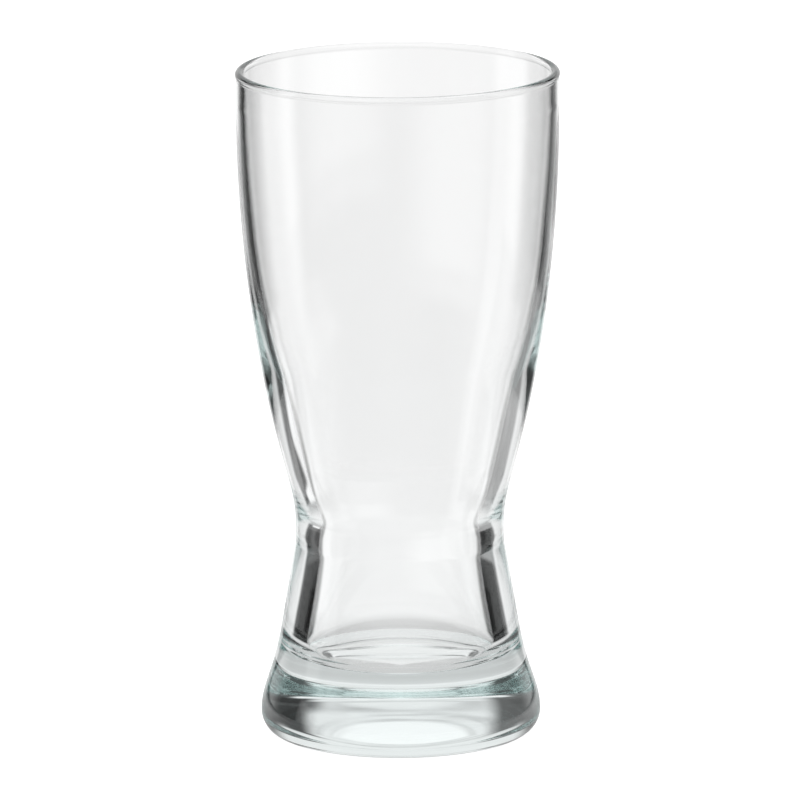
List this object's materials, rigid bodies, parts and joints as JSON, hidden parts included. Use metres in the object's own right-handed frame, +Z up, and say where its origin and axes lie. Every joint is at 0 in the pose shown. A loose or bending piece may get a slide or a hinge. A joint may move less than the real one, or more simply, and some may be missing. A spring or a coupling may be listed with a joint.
{
  "type": "pilsner glass",
  "caption": "Hourglass beer glass of clear pressed and blown soda-lime glass, with a thick flared foot, a narrow waist, a tall swelling bowl and a rounded, fire-polished rim.",
  "frame": {"origin": "centre of the plane that the glass rests on", "axes": "+Z up along the glass's axis, from the foot to the rim; X and Y are alike, because the glass is round"},
  "size_m": [0.0714, 0.0714, 0.149],
  "materials": {
    "clear_glass": "clear, fire-polished, faint grey-green in the thick base"
  },
  "bodies": {
    "root": {"foot": "clear_glass", "waist": "clear_glass", "bowl": "clear_glass", "rim": "clear_glass"}
  },
  "joints": []
}
